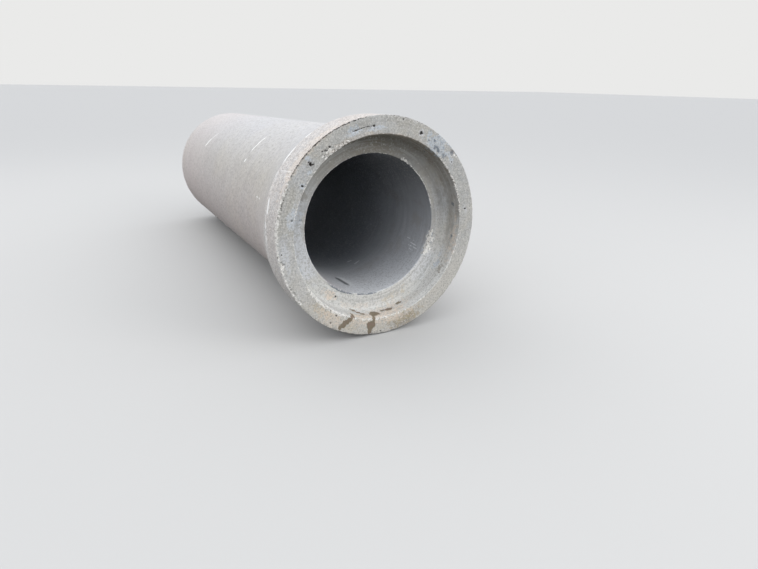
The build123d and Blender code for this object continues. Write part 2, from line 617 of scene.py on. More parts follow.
@dataclass(frozen=True)
class PipeCasting:
    """The pipe's visible surface, turned from its section and then weathered.

    Attributes:
        section: the half section.
        lie: how the pipe lies.
        weathering: wear, chips, pits and stains.
        turns: steps round the pipe.
        edge_steps: steps across each rounded edge.
        refined_length: how far behind the end face the mesh is made finer, in millimetres.
        SECTOR: step of the clock, in degrees, by which marks are looked up.
        SLACK: what is added to each side of a mark there, in degrees.
        REFINED: how far from a mark each pass of dividing reaches, where 1 is the mark's even outline.
        LEAST_WEAR: nearness to a worn edge from which the mesh is divided.
    """

    section: PipeSection
    lie: Lie
    weathering: Weathering
    turns: int = 432
    edge_steps: int = 4
    refined_length: float = 130.0
    SECTOR: ClassVar[int] = 10
    SLACK: ClassVar[float] = 0.5
    REFINED: ClassVar[dict[int, float]] = {1: 1.6, 2: 1.3}
    LEAST_WEAR: ClassVar[float] = 0.05

    def build(self) -> bpy.types.Object:
        """Make the casting as one closed mesh that stands for the solid.

        Returns:
            The object, at the origin, with its place in its mesh.
        """
        bm = bmesh.new()
        self._draw_section(bm)
        self._turn(bm)
        self._refine(bm)
        self._weather(bm)
        bm.transform(self.lie.matrix())
        mesh = bpy.data.meshes.new("pipe_casting")
        bm.to_mesh(mesh)
        bm.free()
        return add_object("pipe_casting", mesh)

    def dress(self, piece: bpy.types.Object) -> None:
        """Give the casting its finishes, in the order of the zones."""
        for zone in Zone:
            piece.data.materials.append(FINISHES[zone].material(self.lie))

    def _draw_section(self, bm: bmesh.types.BMesh) -> None:
        """Draw the half section as a closed loop of edges, rounded and divided.

        Args:
            bm: an empty mesh.
        """
        stations = self.section.stations()
        corners = {name: bm.verts.new((r * MM, y * MM, 0.0)) for name, (r, y, _) in stations.items()}
        ring = list(corners.values())
        for start, end in zip(ring, ring[1:] + ring[:1]):
            bm.edges.new((start, end))
        places = {name: vert.co.copy() for name, vert in corners.items()}
        order = list(places)
        for name, radius in self.section.edge_radii.items():
            at = order.index(name)
            before = (places[order[at - 1]] - places[name]).normalized()
            after = (places[order[(at + 1) % len(order)]] - places[name]).normalized()
            tangent = radius * MM / math.tan(before.angle(after) / 2)
            bmesh.ops.bevel(bm, geom=[corners[name]], offset=tangent, offset_type="OFFSET",
                            segments=self.edge_steps, profile=0.5, affect="VERTICES", material=-1,
                            clamp_overlap=True)
        for name, following in zip(order, order[1:] + order[:1]):
            self._divide_run(bm, places[name], places[following], stations[name][2] * MM)

    def _divide_run(self, bm: bmesh.types.BMesh, start: Vector, end: Vector, spacing: float) -> None:
        """Divide the straight edge that is left between two corners.

        Args:
            bm: the section's mesh.
            start: the first corner's place.
            end: the next corner's place.
            spacing: the wanted distance between loops.
        """
        run = (end - start).normalized()
        length = (end - start).length
        for edge in list(bm.edges):
            offsets = [vert.co - start for vert in edge.verts]
            if all(o.cross(run).length < TINY and -TINY < o.dot(run) < length + TINY for o in offsets):
                cuts = max(round(edge.calc_length() / spacing) - 1, 0)
                if cuts:
                    bmesh.ops.subdivide_edges(bm, edges=[edge], cuts=cuts)

    def _turn(self, bm: bmesh.types.BMesh) -> None:
        """Turn the section into the closed round, with its faces outwards.

        Args:
            bm: the section's mesh.
        """
        bmesh.ops.spin(bm, geom=bm.verts[:] + bm.edges[:], cent=(0, 0, 0), axis=(0, 1, 0), dvec=(0, 0, 0),
                       angle=math.tau, steps=self.turns, use_merge=True, use_duplicate=False)
        bmesh.ops.remove_doubles(bm, verts=bm.verts[:], dist=TINY)
        bmesh.ops.recalc_face_normals(bm, faces=bm.faces[:])

    def _refine(self, bm: bmesh.types.BMesh) -> None:
        """Divide the mesh at worn edges and small marks, and bring the new points back onto the round.

        Args:
            bm: the turned mesh.
        """
        kept = bm.verts.layers.float.new("turned_radius")
        for vert in bm.verts:
            vert[kept] = math.hypot(vert.co.x, vert.co.z)
        sectors = self._sectors()
        for level, limit in self.REFINED.items():
            wanted = []
            for edge in bm.edges:
                spot = Spot.at((edge.verts[0].co + edge.verts[1].co) / 2)
                if spot.along > self.refined_length:
                    continue
                marks, arrises = sectors[int(spot.clock // self.SECTOR)]
                near = any(m.reach(spot) < limit for m in marks if m.passes >= level)
                worn = level == 1 and any(a.nearness(spot) > self.LEAST_WEAR for a in arrises)
                if near or worn:
                    wanted.append(edge)
            bmesh.ops.subdivide_edges(bm, edges=wanted, cuts=1, use_grid_fill=True)
            for vert in bm.verts:
                scale = vert[kept] / math.hypot(vert.co.x, vert.co.z)
                vert.co.x *= scale
                vert.co.z *= scale
        bm.verts.layers.float.remove(kept)

    def _weather(self, bm: bmesh.types.BMesh) -> None:
        """Sink each point into the concrete by its wear, note the marks on it and name each face's zone.

        Args:
            bm: the divided mesh.
        """
        bm.normal_update()
        layers = {effect: bm.verts.layers.float.new(effect.value) for effect in Effect}
        sectors = self._sectors()
        wave = self.weathering
        moved = []
        for vert in bm.verts:
            spot = Spot.at(vert.co)
            depth = wave.waviness * (0.5 + 0.5 * noise.noise(vert.co / (wave.wave_size * MM)))
            marks, arrises = sectors[int(spot.clock // self.SECTOR)]
            held = dict.fromkeys(Effect, 0.0)
            for arris in arrises:
                near = arris.nearness(spot)
                if near:
                    depth += arris.bite(near, spot)
                    # A worn edge's pale is fresh grain and, along the mouth and the bore, a painted highlight
                    held[BROKEN_AND_HIGHLIGHT] = max(held[BROKEN_AND_HIGHLIGHT], near * arris.pale)
                    # Its dark is painted shade and dirt in the nicks
                    held[HOLE_SHADE] = max(held[HOLE_SHADE], near * arris.dark)
            for mark in marks:
                cover = mark.cover(spot)
                if cover:
                    held[mark.effect] = max(held[mark.effect], cover * mark.amount)
                    depth += cover * mark.depth
            for effect, layer in layers.items():
                vert[layer] = held[effect]
            moved.append((vert, vert.normal * (depth * MM)))
        for vert, step in moved:
            vert.co -= step
        for face in bm.faces:
            face.material_index = self.section.zone(Spot.at(face.calc_center_median())).value
            face.smooth = True

    def _sectors(self) -> list[tuple[list[Mark], list[WornArris]]]:
        """Sort the marks and worn edges by the steps of the clock that they touch.

        Returns:
            For each step of the clock, and one more that is the first again, the marks and the worn
            edges that can reach it.
        """
        steps = 360 // self.SECTOR
        sectors = [([], []) for _ in range(steps)]
        touched = []
        for mark in self.weathering.marks():
            half = math.degrees(mark.half_around * mark.FAR / mark.radius) + self.SLACK
            touched.append((0, mark, mark.clock - half, mark.clock + half))
        touched += [(1, arris, arris.start, arris.end) for arris in self.weathering.arrises()]
        for kind, item, start, end in touched:
            for sector in range(math.floor(start / self.SECTOR), math.floor(end / self.SECTOR) + 1):
                if item not in sectors[sector % steps][kind]:
                    sectors[sector % steps][kind].append(item)
        return sectors + sectors[:1]


@dataclass(frozen=True)
class Layer:
    """One uneven layer of colour over the paste.

    Attributes:
        colour: sRGB hex of the layer where it is full.
        around: size of its patches round the pipe, in millimetres.
        fine: size of its patches along the pipe and across its wall, in millimetres.
        low: noise level where the layer starts.
        high: noise level where it is full.
        strength: how much of the colour shows where it is full.
    """

    colour: str
    around: float
    fine: float
    low: float
    high: float
    strength: float


@dataclass(frozen=True)
class Specks:
    """Single grains of sand or pinholes that show in the paste.

    Attributes:
        colour: sRGB hex of the specks.
        spacing: usual distance between places for one, in millimetres.
        size: how far a speck reaches, in millimetres.
        share: how many of the places hold one, from 0 to 1.
        strength: how much of the colour shows.
    """

    colour: str
    spacing: float
    size: float
    share: float
    strength: float


@dataclass(frozen=True)
class Relief:
    """One grade of unevenness in the surface's normal.

    Attributes:
        around: size of its bumps round the pipe, in millimetres.
        fine: size of its bumps along the pipe and across its wall, in millimetres.
        height: their height, in millimetres.
    """

    around: float
    fine: float
    height: float


@dataclass(frozen=True)
class ScrapeAndHighlight:
    """A thin line where steel or another pipe rubbed the concrete or something was dragged in it, or a
    painted highlight along a ridge.

    Attributes:
        start: clock angle and distance behind the end face of one end.
        end: the same of the other end.
        width: half its width in millimetres.
        radius: the surface's radius there, in millimetres.
        colour: sRGB hex of the line.
        strength: how much of the colour shows.
        stray: how far it strays from straight, in millimetres.
        softness: how much of its half width its soft side takes up.
        broken: whether it comes and goes along its length.
    """

    start: tuple[float, float]
    end: tuple[float, float]
    width: float
    radius: float = 400.05
    colour: str = "#F8F8F6"
    strength: float = 1.0
    stray: float = 6.0
    softness: float = 0.6
    broken: bool = True

    def ends(self) -> tuple[Vector, Vector]:
        """Work out where the line runs.

        Returns:
            Both ends in metres, on the pipe's own axes.
        """
        points = []
        for clock, along in (self.start, self.end):
            turn = math.radians(clock)
            points.append(Vector((math.sin(turn) * self.radius, along, math.cos(turn) * self.radius)) * MM)
        return points[0], points[1]


@dataclass(frozen=True)
class Grade:
    """A slow change of colour along the pipe or up it.

    Attributes:
        colour: sRGB hex at the full end.
        axis: "X", "Y" or "Z" of the pipe's own axes.
        start: where it starts, in millimetres.
        end: where it is full, in millimetres.
        strength: how much of the colour shows at the full end.
        fades: distance behind the end face at which it has faded out, in millimetres, or 0 for nowhere.
    """

    colour: str
    axis: str
    start: float
    end: float
    strength: float
    fades: float = 0.0


@dataclass(frozen=True)
class Tint:
    """How one kind of mark colours the concrete.

    Attributes:
        colour: sRGB hex where the mark is full.
        strength: how much of the colour shows there.
        grain: size of the crumbs that break up its outline, in millimetres.
        spread: how much the crumbs matter against the mark's own outline.
        low: level where the mark starts to show.
        high: level where it is full.
    """

    colour: str
    strength: float
    grain: float
    spread: float
    low: float
    high: float


# How marks show, from what lies lowest to what covers the rest. The sand grains lie over the broad ones.
BROAD_TINTS = (
    (DAMP, Tint("#857A6C", 0.75, 42, 1.2, 0, 1)),
    (DUST, Tint("#DCDFE3", 0.7, 60, 0.8, 0, 1)),
    (SLATE, Tint("#C3CBD2", 0.85, 16, 2.6, 0.15, 0.8)),
    (SLATE, Tint("#8F9AA6", 0.6, 17, 5, 0.9, 1.6)),
    (SPLASH, Tint("#C6B48F", 0.6, 34, 1.2, 0, 1.05)),
    (CREAM, Tint("#EADBC9", 0.8, 34, 1.1, 0, 1)),
    (CREAM, Tint("#BDA99E", 0.16, 20, 4.5, 0.8, 1.7)),
    (LIME, Tint("#CDD4DB", 0.85, 14, 1.8, 0.15, 0.9)),
)
CRISP_TINTS = (
    (INK, Tint("#666F79", 0.8, 11, 2, 0.25, 0.85)),
    # Pale broken grain, and a painted highlight along the mouth's and the bore's rounded edges
    (BROKEN_AND_HIGHLIGHT, Tint("#F6F4EE", 0.92, 9, 3, 0.4, 0.72)),
    # Grey among the crumbs: painted shade
    (BROKEN_AND_HIGHLIGHT, Tint("#6A6661", 0.8, 8, 6, 1.15, 1.6)),
    (STAIN, Tint("#776A53", 0.86, 12, 1.2, 0.25, 0.7)),
    (STAIN, Tint("#917B6F", 0.6, 30, 5, 0.9, 1.7)),
    # Near black in air holes, cracks and nicks: painted shade
    (HOLE_SHADE, Tint("#2E2C29", 0.92, 7, 2, 0.38, 0.62)),
)


class PipePaint:
    """Node building on the pipe's own axes, for one material.

    Attributes:
        node: adds a node to the material's tree.
        place: where a point is on the pipe's own axes, in metres.
        parts: its three parts by axis. Y is its distance behind the end face.
        radial: its distance from the axis.
        heading: the direction from the axis to it.
        TRUE_RADIUS: the radius, in millimetres, at which sizes round the pipe are as given.
        DETAIL: number of a pattern's finer levels.
        ROUGHNESS: strength of the finer levels in an even pattern.
        RING_ROUGHNESS: the same in a pattern that is drawn out into rings.
        CORE: share of a speck's reach over which it is full.
        GATE: how soon a mark's crumbs show in full as the mark sets in.
        STRAY_SIZE: length of the bends in a rub or painted highlight line, in millimetres.
        FULL_RUN: how far from its middle such a line keeps its width, as a share of its length.
        SIDE: share of the radius by which such a line stays on its own side of the pipe.
        GAP_SIZE: size of the gaps in a broken one, in millimetres.
        GAP_LEVELS: noise levels at which a gap starts to close and is closed.
    """

    TRUE_RADIUS = 400.0
    DETAIL = 3.0
    ROUGHNESS = 0.62
    RING_ROUGHNESS = 0.55
    CORE = 0.5
    GATE = 4.0
    STRAY_SIZE = 70.0
    FULL_RUN = 0.3
    SIDE = 0.5
    GAP_SIZE = 24.0
    GAP_LEVELS = (0.4, 0.52)

    def __init__(self, tree: bpy.types.NodeTree, lie: Lie) -> None:
        """Turn floor coordinates into the pipe's own.

        Args:
            tree: the material's node tree.
            lie: how the pipe lies.
        """
        self.node = partial(add_node, tree)
        floor_place = self.node("TexCoord").outputs["Object"]
        self.place = self.node("Mapping", {
            "Vector": floor_place, "Location": lie.face_centre, "Rotation": (-lie.slope, 0.0, 0.0),
        }, vector_type="TEXTURE")
        self.parts = self.node("SeparateXYZ", {0: self.place}).outputs
        across = self.node("VectorMath", {0: self.place, 1: (1.0, 0.0, 1.0)}, operation="MULTIPLY")
        self.radial = self.node("VectorMath", {0: across}, operation="LENGTH")
        self.heading = self.node("VectorMath", {0: across}, operation="NORMALIZE")

    def pattern(self, around: float, fine: float) -> Node:
        """Add noise whose patches have a real size on the pipe.

        Where the two sizes differ, the patches are drawn out into rings, as the mould's turning parts
        leave them, also on the faces that lie square to the axis.

        Args:
            around: patch size round the pipe, in millimetres.
            fine: patch size along it and across its wall, in millimetres.

        Returns:
            The noise, about 0.5 on average.
        """
        scale = 1 / (fine * MM)
        if around == fine:
            return self.node("TexNoise", {
                "Vector": self.place, "Scale": scale, "Detail": self.DETAIL, "Roughness": self.ROUGHNESS,
            })
        turned = self.node("VectorMath", {0: self.heading, 1: (self.TRUE_RADIUS / around,) * 3},
                           operation="MULTIPLY")
        drawn = self.node("VectorMath", {0: self.place, 1: (0.0, scale, 0.0), 2: turned},
                          operation="MULTIPLY_ADD")
        ring = self.node("Math", {0: self.radial, 1: scale}, operation="MULTIPLY")
        return self.node("TexNoise", {
            "Vector": drawn, "W": ring, "Scale": 1.0, "Detail": self.DETAIL, "Roughness": self.RING_ROUGHNESS,
        }, noise_dimensions="4D")

    def lay(self, under: Node | tuple, colour: str, level: Node | bpy.types.NodeSocket,
            low: float, high: float, strength: float) -> Node:
        """Lay a colour over another where a level rises.

        Args:
            under: what it is laid over.
            colour: sRGB hex of what is laid.
            level: the level that decides where.
            low: level where it starts to show.
            high: level where it is full.
            strength: how much of it shows where it is full.

        Returns:
            The coloured result.
        """
        share = self.node("MapRange", {
            "Value": level, "From Min": low, "From Max": high, "To Max": strength,
        }, interpolation_type="SMOOTHSTEP")
        return self.node("Mix", {0: share, 6: under, 7: linear(colour)}, data_type="RGBA")

    def layer(self, under: Node | tuple, layer: Layer) -> Node:
        """Lay an uneven layer over a colour and return the result."""
        pattern = self.pattern(layer.around, layer.fine)
        return self.lay(under, layer.colour, pattern, layer.low, layer.high, layer.strength)

    def speck(self, under: Node, specks: Specks) -> Node:
        """Scatter single grains over a colour.

        Args:
            under: the colour that it is laid over.
            specks: their look.

        Returns:
            The coloured result.
        """
        cells = self.node("TexVoronoi", {
            "Vector": self.place, "Scale": 1 / (specks.spacing * MM),
        }).outputs
        drawn = self.node("SeparateColor", {0: cells["Color"]})
        missing = self.node("Math", {0: drawn, 1: specks.share}, operation="GREATER_THAN")
        off = self.node("Math", {0: cells["Distance"], 1: missing}, operation="ADD")
        reach = specks.size / specks.spacing
        return self.lay(under, specks.colour, off, reach, reach * self.CORE, specks.strength)

    def grade(self, under: Node, grade: Grade) -> Node:
        """Lay a slow change over a colour.

        Args:
            under: the colour that it is laid over.
            grade: the change.

        Returns:
            The coloured result.
        """
        level = self.parts[grade.axis]
        if grade.fades:
            rise = self.node("MapRange", {
                "Value": level, "From Min": grade.start * MM, "From Max": grade.end * MM,
            })
            nearness = self.node("MapRange", {
                "Value": self.parts["Y"], "From Min": grade.fades * MM, "From Max": 0.0,
            })
            level = self.node("Math", {0: rise, 1: nearness}, operation="MULTIPLY")
            return self.lay(under, grade.colour, level, 0.0, 1.0, grade.strength)
        return self.lay(under, grade.colour, level, grade.start * MM, grade.end * MM, grade.strength)

    def mark(self, under: Node, effect: Effect, tint: Tint) -> Node:
        """Lay one kind of mark over a colour.

        The mesh holds the marks with a soft outline, which fine noise breaks up here.

        Args:
            under: the colour that it is laid over.
            effect: the kind of mark.
            tint: how it colours the concrete.

        Returns:
            The coloured result.
        """
        held = self.node("Attribute", attribute_name=effect.value).outputs["Fac"]
        crumbs = self.node("Math", {
            0: self.pattern(tint.grain, tint.grain), 1: tint.spread, 2: -tint.spread / 2,
        }, operation="MULTIPLY_ADD")
        gate = self.node("Math", {0: held, 1: self.GATE}, operation="MULTIPLY", use_clamp=True)
        level = self.node("Math", {0: crumbs, 1: gate, 2: held}, operation="MULTIPLY_ADD")
        return self.lay(under, tint.colour, level, tint.low, tint.high, tint.strength)

    def scrape_and_highlight(self, under: Node, scrape_and_highlight: ScrapeAndHighlight) -> Node:
        """Lay one rub line or painted highlight line over a colour.

        Args:
            under: the colour that it is laid over.
            scrape_and_highlight: the line.

        Returns:
            The coloured result.
        """
        start, end = scrape_and_highlight.ends()
        run = end - start
        outward = Vector((start.x + end.x, 0.0, start.z + end.z)).normalized()
        off = self.node("VectorMath", {0: self.place, 1: (start + end) / 2}, operation="SUBTRACT")
        across = self.node("VectorMath", {0: off, 1: run.cross(outward).normalized()},
                           operation="DOT_PRODUCT")
        stray = self.node("Math", {
            0: self.pattern(self.STRAY_SIZE, self.STRAY_SIZE),
            1: scrape_and_highlight.stray * 2 * MM, 2: -scrape_and_highlight.stray * MM,
        }, operation="MULTIPLY_ADD")
        bent = self.node("Math", {0: across, 1: stray}, operation="ADD")
        aside = self.node("Math", {0: bent}, operation="ABSOLUTE")
        lengthwise = self.node("VectorMath", {0: off, 1: run / run.length_squared},
                               operation="DOT_PRODUCT")
        from_middle = self.node("Math", {0: lengthwise}, operation="ABSOLUTE")
        # The line thins to nothing at its ends, which are half its length from its middle
        thinned = self.node("MapRange", {
            "Value": from_middle, "From Min": self.FULL_RUN, "From Max": 0.5,
            "To Min": scrape_and_highlight.width * MM, "To Max": 0.0,
        })
        level = self.node("Math", {0: thinned, 1: aside}, operation="SUBTRACT")
        facing = self.node("VectorMath", {0: self.place, 1: outward}, operation="DOT_PRODUCT")
        near = self.node("Math", {0: facing, 1: self.SIDE * scrape_and_highlight.radius * MM}, operation="GREATER_THAN")
        level = self.node("Math", {0: level, 1: near}, operation="MULTIPLY")
        if scrape_and_highlight.broken:
            gaps = self.node("MapRange", {
                "Value": self.pattern(self.GAP_SIZE, self.GAP_SIZE),
                "From Min": self.GAP_LEVELS[0], "From Max": self.GAP_LEVELS[1],
            }, interpolation_type="SMOOTHSTEP")
            level = self.node("Math", {0: level, 1: gaps}, operation="MULTIPLY")
        full = scrape_and_highlight.width * MM * scrape_and_highlight.softness
        return self.lay(under, scrape_and_highlight.colour, level, 0.0, full, scrape_and_highlight.strength)

    def relief(self, reliefs: tuple[Relief, ...]) -> Node:
        """Add the surface unevenness.

        Args:
            reliefs: its grades, from broad to fine.

        Returns:
            The normal.
        """
        height = 0.0
        for relief in reliefs:
            height = self.node("Math", {
                0: self.pattern(relief.around, relief.fine), 1: relief.height * MM, 2: height,
            }, operation="MULTIPLY_ADD")
        return self.node("Bump", {"Height": height, "Strength": 1.0, "Distance": 1.0})


@dataclass(frozen=True)
class ConcreteFinish:
    """Precast concrete as one face of the mould left it: matte cement paste with sand close under it.

    Attributes:
        name: the material's name.
        paste: sRGB hex of the even paste.
        layers: broad unevenness of colour.
        grains: fine unevenness of colour, which also shows through the broad marks.
        specks: single grains and pinholes.
        reliefs: surface unevenness, from broad to fine.
        grades: slow changes of colour, some of them painted shade and painted light.
        scrapes_and_highlights: rub lines, and painted highlight lines along the bell's ridge.
        roughness: roughness of the dry surface.
        specular: strength of its sheen, low because the paste is dusty.
    """

    name: str
    paste: str
    layers: tuple[Layer, ...]
    grains: tuple[Layer, ...]
    specks: tuple[Specks, ...]
    reliefs: tuple[Relief, ...]
    grades: tuple[Grade, ...] = ()
    scrapes_and_highlights: tuple[ScrapeAndHighlight, ...] = ()
    roughness: float = 0.9
    specular: float = 0.3

    def material(self, lie: Lie) -> bpy.types.Material:
        """Make the material, with its patterns on the pipe's own axes.

        Args:
            lie: how the pipe lies.

        Returns:
            The material.
        """
        made = bpy.data.materials.new(self.name)
        paint = PipePaint(empty_tree(made), lie)
        colour = linear(self.paste)
        for layer in self.layers:
            colour = paint.layer(colour, layer)
        for grade in self.grades:
            colour = paint.grade(colour, grade)
        for effect, tint in BROAD_TINTS:
            colour = paint.mark(colour, effect, tint)
        for grain in self.grains:
            colour = paint.layer(colour, grain)
        for specks in self.specks:
            colour = paint.speck(colour, specks)
        for scrape_and_highlight in self.scrapes_and_highlights:
            colour = paint.scrape_and_highlight(colour, scrape_and_highlight)
        for effect, tint in CRISP_TINTS:
            colour = paint.mark(colour, effect, tint)
        shader = paint.node("BsdfPrincipled", {
            "Base Color": colour, "Normal": paint.relief(self.reliefs), "Roughness": self.roughness,
            "Specular IOR Level": self.specular,
        })
        paint.node("OutputMaterial", {"Surface": shader})
        return made


# Radii at which rub lines, and the painted highlight lines along the ridge, lie on the bell and in the bore,
# in millimetres
RIDGE = PipeSection.band_radius - 2.0
BORE_WALL = PipeSection.bore_radius

